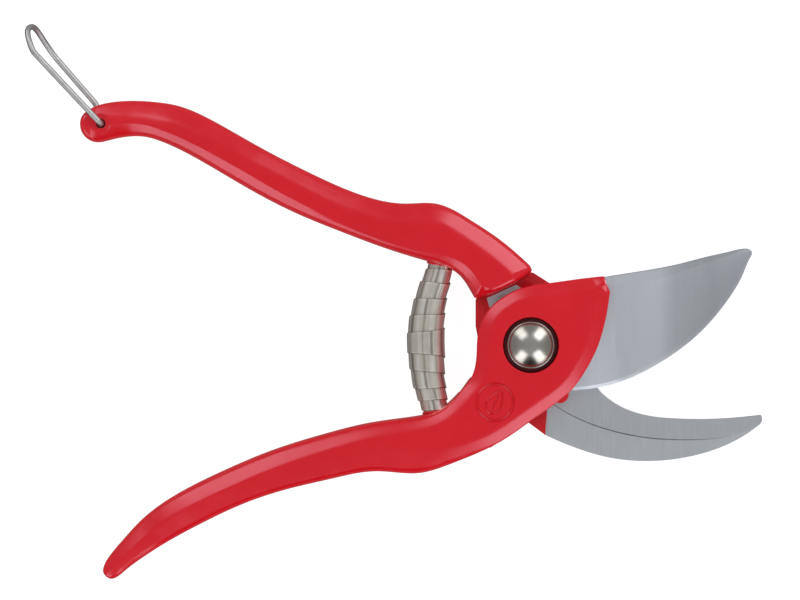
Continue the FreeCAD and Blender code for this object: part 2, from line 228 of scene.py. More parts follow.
# ---- finishing a piece -------------------------------------------------------------------------
def settle(piece):
    """Makes what a piece's modifiers give its plain mesh."""
    bpy.context.view_layer.update()
    mesh = bpy.data.meshes.new_from_object(piece.evaluated_get(bpy.context.evaluated_depsgraph_get()))
    if piece.type == "MESH":
        piece.modifiers.clear()
        piece.data = mesh
        return piece
    name = piece.name
    bpy.data.objects.remove(piece)
    made = bpy.data.objects.new(name, mesh)
    bpy.context.scene.collection.objects.link(made)
    return made


def cut_away(piece, *tools, how="DIFFERENCE"):
    """Cuts the tools out of a piece, or adds them to it."""
    for tool in tools:
        step = piece.modifiers.new("cut", "BOOLEAN")
        step.operation = how
        step.solver = "EXACT"
        step.object = tool
    settle(piece)
    for tool in tools:
        bpy.data.objects.remove(tool)
    return piece


def soften_edges(piece, width, segments=3, angle=28):
    """Rounds a piece's sharp edges."""
    step = piece.modifiers.new("edges", "BEVEL")
    step.width = width * MM
    step.segments = segments
    step.limit_method = "ANGLE"
    step.angle_limit = math.radians(angle)
    step.use_clamp_overlap = True
    step.miter_outer = "MITER_ARC"
    return settle(piece)


def copy_of(node, name, merge=1e-6, flat=0.6):
    """A merged copy of a frame node's mesh, its flat faces made whole."""
    bm = bmesh.new()
    bm.from_mesh(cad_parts[node].data)
    bmesh.ops.remove_doubles(bm, verts=bm.verts, dist=merge)
    bmesh.ops.dissolve_limit(bm, angle_limit=math.radians(flat), verts=bm.verts, edges=bm.edges)
    mesh = bpy.data.meshes.new(name)
    bm.to_mesh(mesh)
    bm.free()
    piece = bpy.data.objects.new(name, mesh)
    bpy.context.scene.collection.objects.link(piece)
    return piece


def shade(piece, angle=32):
    """Shades a piece smooth, but for edges sharper than the angle."""
    piece.data.shade_smooth()
    piece.data.set_sharp_from_angle(angle=math.radians(angle))


def finish_piece(piece, material, body, nodes=(), angle=32):
    """Gives a finished piece its material and body, and hides the nodes it stands for."""
    piece.data.materials.clear()
    piece.data.materials.append(material)
    piece.data.polygons.foreach_set("material_index", [0] * len(piece.data.polygons))
    shade(piece, angle)
    if nodes:
        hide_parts(*nodes)
    if body:
        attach(piece, body)
    return piece


# ---- materials ----------------------------------------------------------------------------------
class Surface:
    """A node material with short calls for the patterns that these finishes share."""

    def __init__(self, name, metallic=0.0, **own):
        self.material = bpy.data.materials.new(name)
        self.material.use_nodes = True
        self.tree = self.material.node_tree
        self.shader = self.tree.nodes["Principled BSDF"]
        self.shader.inputs["Metallic"].default_value = metallic
        for socket, value in own.items():
            self.shader.inputs[socket.replace("_", " ")].default_value = value
        self.place = self.tree.nodes.new("ShaderNodeTexCoord").outputs["Object"]

    def link(self, out, into):
        self.tree.links.new(out, into)

    def pattern(self, size, detail=3.0, turn=0.0, roughness=0.5, distortion=0.0):
        """Cloudy noise. The size of its features along X, Y and Z is in millimetres."""
        mapping = self.tree.nodes.new("ShaderNodeMapping")
        mapping.inputs["Scale"].default_value = [1 / (s * MM) for s in size]
        mapping.inputs["Rotation"].default_value = (0, 0, math.radians(turn))
        self.link(self.place, mapping.inputs["Vector"])
        noise = self.tree.nodes.new("ShaderNodeTexNoise")
        noise.inputs["Scale"].default_value = 1.0
        noise.inputs["Detail"].default_value = detail
        noise.inputs["Roughness"].default_value = roughness
        noise.inputs["Distortion"].default_value = distortion
        self.link(mapping.outputs["Vector"], noise.inputs["Vector"])
        return noise.outputs["Fac"]

    def spread(self, value, low, high, start=0.3, end=0.7):
        """A value stretched to a range."""
        node = self.tree.nodes.new("ShaderNodeMapRange")
        for socket, number in (("From Min", start), ("From Max", end), ("To Min", low), ("To Max", high)):
            node.inputs[socket].default_value = number
        self.link(value, node.inputs["Value"])
        return node.outputs["Result"]

    def mixed(self, how, first, second):
        """Two values, or a value and a number, put together."""
        node = self.tree.nodes.new("ShaderNodeMath")
        node.operation = how
        for socket, given in zip(node.inputs, (first, second)):
            if isinstance(given, (int, float)):
                socket.default_value = given
            else:
                self.link(given, socket)
        return node.outputs["Value"]

    def colours(self, value, *stops):
        """Colours along a value. Each stop is a place and a colour."""
        ramp = self.tree.nodes.new("ShaderNodeValToRGB")
        elements = ramp.color_ramp.elements
        while len(elements) < len(stops):
            elements.new(0.5)
        for element, (place, colour) in zip(elements, stops):
            element.position = place
            element.color = (*colour, 1)
        self.link(value, ramp.inputs["Fac"])
        return ramp.outputs["Color"]

    def tinted(self, first, second):
        """One colour multiplied by another."""
        node = self.tree.nodes.new("ShaderNodeMix")
        node.data_type = "RGBA"
        node.blend_type = "MULTIPLY"
        factor, colour_a, colour_b = (node.inputs[k] for k in (0, 6, 7))
        factor.default_value = 1.0
        self.link(first, colour_a)
        self.link(second, colour_b)
        return node.outputs[2]

    def axis(self, which):
        """One coordinate of the piece, in metres."""
        node = self.tree.nodes.new("ShaderNodeSeparateXYZ")
        self.link(self.place, node.inputs["Vector"])
        return node.outputs[which]

    def colour(self, out):
        """Joins a colour to the shader."""
        self.link(out, self.shader.inputs["Base Color"])

    def roughness(self, out):
        """Joins a roughness to the shader."""
        self.link(out, self.shader.inputs["Roughness"])

    def bumps(self, *layers):
        """Bump layers, each a value and a depth in millimetres."""
        normal = None
        for value, depth in layers:
            node = self.tree.nodes.new("ShaderNodeBump")
            node.inputs["Strength"].default_value = 1.0
            node.inputs["Distance"].default_value = depth * MM
            self.link(value, node.inputs["Height"])
            if normal:
                self.link(normal, node.inputs["Normal"])
            normal = node.outputs["Normal"]
        self.link(normal, self.shader.inputs["Normal"])


def moulded_red():
    """Glossy red vinyl, with the slow ripple and faint haze of a dipped coating."""
    s = Surface("moulded_red", Specular_IOR_Level=0.875, Specular_Tint=(1.0, 0.68, 0.78, 1.0))
    cloud = s.pattern((22, 22, 22), detail=2)
    haze = s.pattern((5, 5, 5), detail=4)
    fine = s.pattern((0.5, 0.5, 0.5), detail=3)
    ripple = s.pattern((7, 7, 7), detail=1.5)
    s.colour(s.colours(s.mixed("ADD", s.mixed("MULTIPLY", cloud, 0.7), s.mixed("MULTIPLY", haze, 0.3)),
                       (0.15, (0.66, 0.003, 0.009)), (0.5, (0.71, 0.004, 0.012)),
                       (0.85, (0.76, 0.006, 0.016))))
    s.roughness(s.spread(haze, 0.18, 0.27))
    s.bumps((ripple, 0.02), (fine, 0.001))
    return s.material


def coated_red():
    """Red baked coating on the steel levers, thinner and with a fine texture."""
    s = Surface("coated_red", Specular_IOR_Level=0.40)
    cloud = s.pattern((12, 12, 12), detail=3)
    fine = s.pattern((0.35, 0.35, 0.35), detail=2)
    s.colour(s.colours(cloud, (0.15, (0.52, 0.003, 0.008)), (0.85, (0.66, 0.006, 0.012))))
    s.roughness(s.spread(s.pattern((2, 2, 2)), 0.32, 0.46))
    s.bumps((fine, 0.012))
    return s.material


def ground_steel(name, dark, light, grain, turn, rough, cross=None, painted_shade_along=None, depth=0.006):
    """Ground and brushed steel, its grain a little uneven. When shades along X are given, its colour is also
    painted lighter and darker along its length, as painted reflection and shade.
    """
    s = Surface(name, metallic=1.0)
    fine = s.pattern(grain, detail=4, turn=turn, roughness=0.65)
    broad = s.pattern([g * 6 for g in grain], detail=2, turn=turn)
    cloud = s.pattern((14, 14, 14), detail=2)
    value = s.mixed("ADD", s.mixed("MULTIPLY", fine, 0.45),
                    s.mixed("ADD", s.mixed("MULTIPLY", broad, 0.30), s.mixed("MULTIPLY", cloud, 0.25)))
    layers = [(fine, depth)]
    if cross:
        scratches = s.pattern(cross, detail=3, turn=turn + 62, roughness=0.7)
        value = s.mixed("ADD", s.mixed("MULTIPLY", value, 0.75), s.mixed("MULTIPLY", scratches, 0.25))
        layers.append((scratches, depth * 0.8))
    colour = s.colours(value, (0.34, dark), (0.62, light))
    # painted reflection and shade: the colour is multiplied by a lighter-to-darker ramp along X
    if painted_shade_along:
        start, end, stops = painted_shade_along
        painted_shades = s.colours(s.spread(s.axis("X"), 0, 1, start * MM, end * MM),
                           *[(place, (v, v, v * 1.02)) for place, v in stops])
        colour = s.tinted(colour, painted_shades)
    s.colour(colour)
    s.roughness(s.spread(fine, rough[0], rough[1]))
    s.bumps(*layers)
    return s.material


def bright_metal(name, dark, light, rough, grain=(1.2, 1.2, 1.2), depth=0.003):
    """Plated or drawn metal with small marks of handling."""
    s = Surface(name, metallic=1.0)
    marks = s.pattern(grain, detail=4, roughness=0.6)
    cloud = s.pattern((4, 4, 4), detail=2)
    s.colour(s.colours(cloud, (0.3, dark), (0.7, light)))
    s.roughness(s.spread(marks, rough[0], rough[1]))
    s.bumps((marks, depth))
    return s.material


def rolled_strip():
    """Plated strip, rippled along its width by the coiling; its colour is streaked with painted reflections,
    and painted highlight and shadow lines run along its cut edges.
    """
    s = Surface("spring_strip", metallic=0.85)
    marks = s.tree.nodes.new("ShaderNodeUVMap")
    marks.uv_map = "turns_and_inset"
    parts = s.tree.nodes.new("ShaderNodeSeparateXYZ")
    s.link(marks.outputs["UV"], parts.inputs["Vector"])
    streaks = s.tree.nodes.new("ShaderNodeTexNoise")
    streaks.noise_dimensions = "1D"
    streaks.inputs["Scale"].default_value = 17.0
    streaks.inputs["Detail"].default_value = 2.5
    streaks.inputs["Roughness"].default_value = 0.6
    s.link(parts.outputs["X"], streaks.inputs["W"])
    ripple_and_reflection_streak = streaks.outputs["Fac"]
    # painted reflection: bright and dark colour streaks along the turns stand for reflections in the
    # ripples, which the same noise also bumps
    colour = s.colours(ripple_and_reflection_streak, (0.35, (0.44, 0.41, 0.35)), (0.43, (0.80, 0.755, 0.66)),
                       (0.53, (0.90, 0.86, 0.765)), (0.62, (0.97, 0.95, 0.89)))
    # painted shadow in a thin dark line at each cut edge, and a painted highlight in the band just inside it
    inset = s.spread(parts.outputs["Y"], 0, 1, 0, 1)
    edge = s.colours(inset, (0.0, (0.35, 0.34, 0.32)), (0.10, (0.45, 0.44, 0.42)), (0.20, (1.0, 1.0, 1.0)),
                     (0.5, (1.0, 1.0, 1.0)), (0.55, (0.88, 0.88, 0.88)))
    s.colour(s.tinted(colour, edge))
    s.roughness(s.spread(s.pattern((1.6, 2.5, 1.6), detail=2), 0.28, 0.38))
    s.bumps((ripple_and_reflection_streak, 0.035))
    return s.material


def turned_nickel():
    """Bright nickel over fine rings left by turning, its colour painted lighter at the middle and darker
    toward the rim as painted shade that dims the highlights there.
    """
    s = Surface("turned_nickel", metallic=1.0)
    flat = s.tree.nodes.new("ShaderNodeVectorMath")
    flat.operation = "MULTIPLY"
    flat.inputs[1].default_value = (1, 1, 0)
    s.link(s.place, flat.inputs[0])
    length = s.tree.nodes.new("ShaderNodeVectorMath")
    length.operation = "LENGTH"
    s.link(flat.outputs["Vector"], length.inputs[0])
    rings = s.tree.nodes.new("ShaderNodeTexNoise")
    rings.noise_dimensions = "1D"
    rings.inputs["Scale"].default_value = 1 / (0.16 * MM)
    rings.inputs["Detail"].default_value = 3
    s.link(length.outputs["Value"], rings.inputs["W"])
    worn = s.mixed("MULTIPLY", s.pattern((2.5, 2.5, 2.5)), 0.12)
    # painted shade: the colour darkens from the middle out toward the rim, where the highlights fall
    painted_rim_shade = s.spread(length.outputs["Value"], 0.0, 0.88, 1.0 * MM, 4.6 * MM)
    s.colour(s.colours(s.mixed("ADD", painted_rim_shade, worn),
                       (0.05, (0.63, 0.605, 0.55)), (0.95, (0.42, 0.40, 0.355))))
    s.roughness(s.spread(s.pattern((0.8, 0.8, 0.8)), 0.21, 0.27))
    s.bumps((rings.outputs["Fac"], 0.007))
    return s.material


# ---- handles --------------------------------------------------------------------------------------
# Each row is the upper edge, the lower edge, the crown's height over the middle plane, then the width
# and slope of the facet along the upper edge, the same along the lower edge, and the side rounding.
UPPER_SLEEVE = [
    ((-130.9, 64.5), (-130.9, 64.5), 5.0, 3.4, 0.30, 3.4, 0.30, 2.4),
    ((-130.4, 66.3), (-130.5, 62.2), 5.0, 3.4, 0.30, 3.4, 0.30, 2.4),
    ((-129.1, 67.8), (-129.2, 60.3), 5.0, 3.4, 0.30, 3.6, 0.32, 2.4),
    ((-127.0, 69.1), (-127.4, 59.2), 5.0, 3.5, 0.32, 3.9, 0.36, 2.4),
    ((-124.5, 70.0), (-125.3, 58.9), 5.0, 3.8, 0.34, 4.2, 0.40, 2.4),
    ((-121.4, 70.6), (-122.4, 59.5), 5.0, 4.2, 0.36, 4.2, 0.42, 2.5),
    ((-115.5, 71.0), (-116.3, 60.6), 5.0, 4.8, 0.40, 3.8, 0.46, 2.6),
    ((-109.6, 70.7), (-112.0, 60.5), 5.4, 5.0, 0.42, 3.3, 0.50, 2.7),
    ((-103.0, 69.7), (-107.4, 59.2), 6.1, 5.0, 0.44, 3.0, 0.52, 2.8),
    ((-91.5, 64.8), (-97.0, 54.2), 7.2, 4.8, 0.46, 3.3, 0.52, 2.9),
    ((-78.4, 57.4), (-84.5, 46.9), 8.1, 4.7, 0.46, 3.7, 0.50, 2.9),
    ((-64.0, 50.0), (-69.2, 38.8), 8.1, 4.8, 0.46, 3.3, 0.44, 2.9),
    ((-49.4, 43.7), (-55.2, 33.0), 8.1, 5.2, 0.44, 2.4, 0.28, 3.0),
    ((-36.0, 41.1), (-40.0, 27.4), 8.1, 5.4, 0.40, 2.2, 0.22, 3.2),
    ((-27.6, 41.1), (-29.0, 24.1), 8.1, 5.4, 0.38, 2.8, 0.30, 3.2),
    ((-17.5, 36.4), (-20.8, 20.5), 8.1, 5.5, 0.40, 3.3, 0.42, 3.0),
    ((-8.8, 30.6), (-17.6, 16.2), 8.1, 5.6, 0.42, 3.4, 0.46, 2.8),
    ((1.3, 21.8), (-16.0, 13.3), 8.1, 5.6, 0.42, 3.4, 0.46, 2.6),
]
LOWER_GRIP = [
    ((-123.3, -67.4), (-123.3, -67.4), 3.6, 1.5, 0.60, 4.0, 0.22, 1.6),
    ((-124.1, -66.2), (-121.9, -68.0), 4.0, 1.8, 0.60, 4.0, 0.22, 1.8),
    ((-124.0, -64.4), (-120.0, -67.4), 4.4, 2.4, 0.60, 5.0, 0.20, 2.2),
    ((-122.6, -61.7), (-117.6, -65.5), 4.7, 3.0, 0.58, 5.5, 0.18, 2.5),
    ((-119.0, -57.3), (-113.5, -62.4), 5.0, 3.6, 0.55, 6.0, 0.17, 2.6),
    ((-113.2, -51.0), (-107.4, -58.4), 5.0, 4.3, 0.52, 7.0, 0.16, 2.8),
    ((-101.6, -42.7), (-95.8, -52.0), 6.6, 4.9, 0.50, 8.0, 0.15, 3.0),
    ((-90.0, -36.9), (-84.2, -46.5), 7.7, 5.1, 0.50, 8.5, 0.15, 3.2),
    ((-75.0, -30.6), (-71.0, -42.0), 8.1, 5.0, 0.48, 9.0, 0.15, 3.3),
    ((-60.0, -25.9), (-57.5, -38.8), 8.1, 4.8, 0.44, 9.0, 0.15, 3.4),
    ((-46.0, -22.5), (-44.5, -36.7), 8.1, 4.5, 0.40, 9.0, 0.15, 3.4),
    ((-34.0, -20.8), (-32.2, -37.2), 8.1, 4.2, 0.38, 7.0, 0.20, 3.3),
    ((-26.5, -18.7), (-23.5, -34.7), 8.2, 3.8, 0.37, 4.8, 0.30, 2.6),
    ((-20.6, -13.6), (-11.7, -29.6), 8.4, 3.5, 0.36, 3.6, 0.35, 1.5),
]
HEAD_LEFT = [(-17.3, -9.5), (-15.7, -2.5), (-15.4, 2.6), (-11.9, 10.6), (-8.6, 13.5), (-2.7, 16.5),
             (5.6, 18.0), (13.5, 19.1), (21.3, 20.0)]
HEAD_RIGHT = [(-5.6, -26.0), (0.3, -21.8), (6.4, -17.5), (12.1, -12.7), (16.0, -7.2), (19.1, -1.2),
              (20.95, 4.3), (22.2, 10.0), (23.0, 15.5)]
HEAD_EDGE = (3.3, 0.43, 3.3, 0.43, 1.0)
GRIP_SECTIONS = len(LOWER_GRIP)
BAIL_HOLE = (-124.6, 64.2)
bail_hole_r = 1.4
half_wall = 0.4
SPRING_AXIS = [(-25.9, 24.6), (-26.8, 20.2), (-28.3, 15.6), (-29.4, 11.0), (-30.1, 6.5), (-30.3, 0.7),
               (-30.0, -5.5), (-29.5, -10.3), (-28.6, -14.3), (-27.8, -17.8), (-27.3, -20.4)]
UPPER_SEAT = (-26.2, 23.4)
LOWER_SEAT = (-27.5, -19.2)


def facet(inside, width, slope, softness=0.3):
    """How far a flat facet along an edge has fallen, this far inside the edge."""
    x = width - inside
    return slope * 0.5 * (x + np.sqrt(x * x + softness ** 2))


def rounding(inside, radius, height, fullness=2.9):
    """How far a rounded edge has fallen, this far inside it. A higher fullness is boxier."""
    near = np.clip(1 - inside / np.maximum(radius, 1e-3), 0, 1)
    return height * (1 - np.maximum(1 - near ** fullness, 0) ** (1 / fullness))


def soft_most(a, b, power=5):
    """The larger of two heights, blended where they meet."""
    return (np.maximum(a, 0) ** power + np.maximum(b, 0) ** power) ** (1 / power)


def soft_least(a, b, power=6):
    """The smaller of two distances, blended where they meet."""
    a, b = np.maximum(a, 1e-4), np.maximum(b, 1e-4)
    return (a ** -power + b ** -power) ** (-1 / power)


def rows_across(width, radius, facet_zone=4.6):
    """Where the rows of a handle's grid lie across it: close together at the edges."""
    radius = min(radius, 0.42 * width)
    zone = min(facet_zone, 0.46 * width - radius * 0.5)
    zone = max(zone, radius)
    edge = radius * (1 - np.cos(np.linspace(0, math.pi / 2, 9)))
    band = np.linspace(radius, zone, 15)[1:]
    middle = np.linspace(zone, width - zone, 24)[1:-1]
    near = np.concatenate([edge, band])
    return np.concatenate([near, middle, width - near[::-1]])


def handle_shape(rows, stations, end_bow, corner):
    """The plan of a handle as a grid, with its numbers at each point and its distance to each edge."""
    upper = smooth_curve([r[0] for r in rows])
    lower = smooth_curve([r[1] for r in rows])
    last = len(rows) - 1
    index = even_stations(lambda i: (upper(i) + lower(i)) / 2, last, stations, 2.2)
    numbers = np.stack([np.interp(index, np.arange(len(rows)), [r[k] for r in rows]) for k in range(2, 8)])
    # the numbers change slowly, with no corner where a row gives them
    reach = stations // 45
    kernel = np.hanning(2 * reach + 1)
    kernel /= kernel.sum()
    padded = np.pad(numbers, ((0, 0), (reach, reach)), mode="edge")
    numbers = np.stack([np.convolve(n, kernel, mode="valid") for n in padded])
    a, b = upper(index), lower(index)
    width = np.linalg.norm(a - b, axis=1)
    across = np.stack([rows_across(max(w, 1e-3), r) / max(w, 1e-3) for w, r in zip(width, numbers[5])])
    forward = np.gradient((a + b) / 2, axis=0)
    forward /= np.linalg.norm(forward, axis=1)[:, None]
    distance = np.concatenate([[0.0], np.cumsum(np.linalg.norm(np.diff((a + b) / 2, axis=0), axis=1))])
    # the end's corners are rounded in plan
    near = np.clip(1 - (distance[-1] - distance) / corner, 0, 1)
    inset = (corner * (1 - np.sqrt(1 - near ** 2)) / np.maximum(width, 1e-3))[:, None]
    across = inset + across * (1 - 2 * inset)
    plan = a[:, None, :] + (b - a)[:, None, :] * across[..., None]
    # the end is bowed
    near_end = np.clip(1 - (distance[-1] - distance) / 16, 0, 1) ** 2
    bow = end_bow * near_end[:, None] * 4 * across * (1 - across)
    plan = plan + forward[:, None, :] * bow[..., None]
    points = plan.reshape(-1, 2)
    sides = [distance_to(points, line).reshape(plan.shape[:2])
             for line in (plan[:, 0], plan[:, -1], plan[-1])]
    return index, plan, numbers[:, :, None], sides


def handle_top(numbers, sides, middle, floor, end_round, softness=(0.3, 0.3)):
    """How high a handle's face lies over its plan."""
    half, upper_width, upper_slope, lower_width, lower_slope, radius = numbers
    from_upper, from_lower, from_end = sides
    share = from_upper / np.maximum(from_upper + from_lower, 1e-3)
    width = from_upper + from_lower
    upper_facet = facet(from_upper, np.minimum(upper_width, 0.5 * width), upper_slope, softness[0])
    lower_facet = facet(from_lower, np.minimum(lower_width, 0.62 * width), lower_slope, softness[1])
    facets = soft_most(upper_facet, lower_facet)
    edge_fall = np.maximum(upper_width * upper_slope, 0)
    side_height = np.clip(middle + half - floor - edge_fall, 0.4, 4.4)
    radius = 0.55 * radius
    inside = soft_least(soft_least(from_upper, from_lower), from_end * radius / end_round)
    fall = rounding(inside, radius, side_height) + facets
    fall = fall + 0.25 * (2 * share - 1) ** 2
    return np.maximum(middle + half - fall, floor)


def shell(name, plan, top, bottom):
    """A closed body between two faces over the same plan."""
    up = np.concatenate([plan, top[..., None]], axis=2)
    down = np.concatenate([plan, bottom[..., None]], axis=2)
    walls = [np.stack([up[:, 0], down[:, 0]], 1), np.stack([up[:, -1], down[:, -1]], 1),
             np.stack([up[0], down[0]], 1), np.stack([up[-1], down[-1]], 1)]
    return grids(name, [up, down] + walls)


def dish(plan, centre, inner, outer, depth):
    """A shallow dish round a point."""
    r = np.linalg.norm(plan - np.array(centre), axis=2)
    t = np.clip((outer - r) / (outer - inner), 0, 1)
    return depth * t * t * (3 - 2 * t)


def seat_lip(name, end, before, radius=3.55):
    """A small lip on a handle, round the end of the spring."""
    way = np.array(end) - np.array(before)
    way /= np.linalg.norm(way)
    a = np.linspace(0, 2 * math.pi, 48, endpoint=False)
    ring = np.stack([end[0] - way[1] * radius * np.cos(a), end[1] + way[0] * radius * np.cos(a),
                     grip_middle + radius * np.sin(a)], 1)
    return round_bar(name, ring, 0.42, 12, loop=True)


def upper_sleeve():
    """The moulded sleeve on the hook half's handle, with the hole that the bail hangs in."""
    _, plan, numbers, sides = handle_shape(UPPER_SLEEVE, 420, 1.0, 1.6)
    seam = 0.15
    face = handle_top(numbers, sides, grip_middle, grip_middle + seam, 2.2, (1.5, 0.35))
    top, bottom = face, 2 * grip_middle - face
    hollow = dish(plan, BAIL_HOLE, 1.5, 3.0, 0.45)
    piece = shell("upper_handle_sleeve", plan, top - hollow, bottom + hollow)
    # a bore from each face, with a thin wall left between them
    bores = [turned("bail_bore", [(0, start), (bail_hole_r, start), (bail_hole_r, end), (0, end)],
                    (*BAIL_HOLE, 0), sides=48)
             for start, end in ((grip_middle + half_wall, 20), (-2, grip_middle - half_wall))]
    cut_away(piece, *bores)
    return cut_away(piece, seat_lip("upper_lip", UPPER_SEAT, SPRING_AXIS[1]), how="UNION")


recess_r = 8.05
EMBLEM = (-10.4, -16.5)
emblem_r = 5.3


def emblem_tools():
    """The tools that engrave a plain ring with a leaf in it."""
    face = cover_top
    a = np.linspace(0, 2 * math.pi, 96, endpoint=False)
    ring = np.stack([EMBLEM[0] + emblem_r * np.cos(a), EMBLEM[1] + emblem_r * np.sin(a),
                     np.full(len(a), face - 0.10)], 1)
    tools = [round_bar("ring_tool", ring, 0.46, 12, loop=True)]
    lean = math.radians(62)

    def on_face(u, v):
        x = EMBLEM[0] + u * math.cos(lean) - v * math.sin(lean)
        y = EMBLEM[1] + u * math.sin(lean) + v * math.cos(lean)
        return (x, y, face - 0.06)

    t = np.linspace(0, 2 * math.pi, 64, endpoint=False)
    outline = [on_face(3.5 * math.cos(x), 2.0 * math.sin(x) * (1 - 0.35 * math.cos(x))) for x in t]
    tools.append(round_bar("leaf_tool", outline, 0.32, 10, loop=True))
    stem = [on_face(u, 0.12 * math.sin(u)) for u in np.linspace(-4.3, 2.4, 24)]
    tools.append(round_bar("stem_tool", stem, 0.30, 10))
    return tools


def lower_cover():
    """The lower grip and the head cover, moulded in one."""
    head = [(l, r, cover_top - grip_middle, *HEAD_EDGE) for l, r in zip(HEAD_LEFT, HEAD_RIGHT)]
    rows = LOWER_GRIP + head
    index, plan, numbers, sides = handle_shape(rows, 520, -0.22, 0.45)
    in_head = np.clip((index - (GRIP_SECTIONS - 2.5)) / 2.0, 0, 1)[:, None]
    in_head = in_head * in_head * (3 - 2 * in_head)
    floor = (grip_middle + 0.15) * (1 - in_head) + (cover_underside + 0.2) * in_head
    top = handle_top(numbers, sides, grip_middle, floor, 0.8, (0.9, 0.9))
    top = np.minimum(top, cover_top)
    bottom = 2 * grip_middle - handle_top(numbers, sides, grip_middle, grip_middle + 0.15, 0.8)
    bottom = np.maximum(bottom, low_of("lower_grip"))
    # past the grip's end only the cover goes on, over the lever
    step = int(np.searchsorted(index, GRIP_SECTIONS - 1))
    plan = np.concatenate([plan[:step + 1], plan[step:]])
    top = np.concatenate([top[:step + 1], top[step:]])
    bottom = np.concatenate([bottom[:step + 1], np.full_like(bottom[step:], cover_underside)])
    piece = shell("lower_handle_cover", plan, top, bottom)
    mouth = arc_points((recess_r + 0.4, cover_top - 0.35), 0.4, 180, 90, 6)
    recess = turned("recess", [(0, cover_underside - 2), (recess_r, cover_underside - 2),
                               (recess_r, cover_top - 0.35), *mouth,
                               (recess_r + 0.55, cover_top + 1), (0, cover_top + 1)])
    cut_away(piece, recess, *emblem_tools())
    return cut_away(piece, seat_lip("lower_lip", LOWER_SEAT, SPRING_AXIS[-2]), how="UNION")


# ---- jaws ------------------------------------------------------------------------------------------
BLADE_EDGES = [
    ((-15.0, 0.0), (-15.0, 0.0)), (polar(15, 160), polar(15, 200)), (polar(15, 135), polar(15, 225)),
    (polar(15, 115), polar(15, 250)), (polar(15, 98), polar(15, 275)), ((6.0, 16.9), (8.5, -13.6)),
    ((14.1, 18.5), (17.0, -12.7)), ((22.2, 19.9), (26.0, -10.7)), ((33.0, 21.6), (37.6, -5.2)),
    ((43.4, 23.6), (49.2, 3.5)), ((52.0, 25.8), (57.9, 13.9)), ((58.5, 27.3), (61.9, 21.0)),
    ((62.2, 28.0), (63.8, 25.4)), ((63.7, 27.7), (64.3, 26.6)), ((64.15, 27.3), (64.15, 27.3)),
]
SPINE_BAND = [0.6, 0.6, 0.6, 0.6, 0.8, 1.6, 2.3, 2.7, 2.9, 2.2, 1.6, 0.9, 0.5, 0.3, 0.2]
HOLLOW = [0, 0, 0, 0, 0, 0, 0.35, 0.85, 1, 1, 1, 1, 1, 1, 1]
edge_bevel = 0.85
edge_thickness = 0.46
edge_drop = 0.12
spine_drop = 0.12
spine_slope = 0.15


def cutting_jaw():
    """The blade: a spine bevel, a hollow-ground face and a fine bevel along the cutting edge."""
    upper = smooth_curve([p[0] for p in BLADE_EDGES])
    lower = smooth_curve([p[1] for p in BLADE_EDGES])
    last = len(BLADE_EDGES) - 1
    index = even_stations(lambda i: (upper(i) + lower(i)) / 2, last, 240)
    hollow = np.interp(index, np.arange(last + 1), HOLLOW)
    hollow = hollow * hollow * (3 - 2 * hollow)
    band = np.interp(index, np.arange(last + 1), SPINE_BAND)
    a, b = upper(index), lower(index)
    thickness = blade_front - blade_back
    rings = []
    for p, q, h, spine in zip(a, b, hollow, band):
        width = max(float(np.linalg.norm(q - p)), 1e-3)
        spine = min(spine, 0.3 * width)
        bevel = min(edge_bevel, 0.3 * width)
        face = np.linspace(spine, width - bevel, 30)
        x = (face - spine) / max(width - bevel - spine, 1e-3)
        depth = (thickness - edge_thickness) * h * (1 - math.exp(-(width / 24) ** 2.2)) ** 0.5
        fall = depth * (x + 0.30 * x * (1 - x))
        rows = np.concatenate([[0, 0.06 * spine], face, [width - 0.03 * bevel, width]])
        spine_fall = spine * max(h, 0.15)
        edge = min(thickness - 0.08, depth + edge_drop * bevel / edge_bevel)
        drop = np.concatenate([[spine_fall * spine_slope + spine_drop, spine_fall * 0.8 * spine_slope], fall,
                               [edge, min(thickness - 0.05, edge + 0.06)]])
        heights = blade_front - drop
        top = [(*(p + (q - p) * r / width), z) for r, z in zip(rows, heights)]
        back = [(*(p + (q - p) * r), blade_back) for r in np.linspace(1, 0, 8)]
        rings.append(top + back)
    piece = swept("cutting_jaw", np.array(rings))
    bore = turned("bore", [(0, 0), (5.06, 0), (5.06, 20), (0, 20)], sides=96)
    return cut_away(piece, bore)


GRIND_LINE = [(1.0, -12.8), (7.1, -17.7), (13.8, -21.5), (21.0, -24.3), (28.3, -26.2), (35.5, -27.3),
              (45.1, -27.7), (52.3, -27.4), (58.0, -26.6), (63.0, -25.0), (69.0, -21.5)]
GRIND_STEP = [0.20, 0.26, 0.28, 0.28, 0.28, 0.26, 0.21, 0.10, 0.02, 0.0, 0.0]
GRIND_SLOPE = [0.06, 0.06, 0.06, 0.07, 0.07, 0.07, 0.07, 0.07, 0.07, 0.07, 0.06]


def hook_jaw():
    """The hook: a flat face, and below a ground line a bevel that falls to the outer edge."""
    line = smooth_curve(GRIND_LINE)
    index = np.linspace(0, len(GRIND_LINE) - 1, 160)
    inner = line(index)
    forward = np.gradient(inner, axis=0)
    forward /= np.linalg.norm(forward, axis=1)[:, None]
    outward = np.stack([forward[:, 1], -forward[:, 0]], axis=1)
    step = np.interp(index, np.arange(len(GRIND_LINE)), GRIND_STEP)
    slope = np.interp(index, np.arange(len(GRIND_LINE)), GRIND_SLOPE)
    reach = 14.0
    wall = (0.04 + step)[:, None] * outward
    outer = inner + outward * reach
    rings = np.stack([np.column_stack([inner, hook_top - step]),
                      np.column_stack([outer, hook_top - step - slope * reach]),
                      np.column_stack([outer, np.full(len(index), hook_top + 3)]),
                      np.column_stack([inner - wall, np.full(len(index), hook_top + 3)]),
                      np.column_stack([inner - wall, np.full(len(index), hook_top + 0.005)])], axis=1)
    piece = copy_of("hook_blade", "hook_jaw")
    cut_away(piece, swept("grinding_tool", rings))
    return soften_edges(piece, 0.22, 2, 48), inner


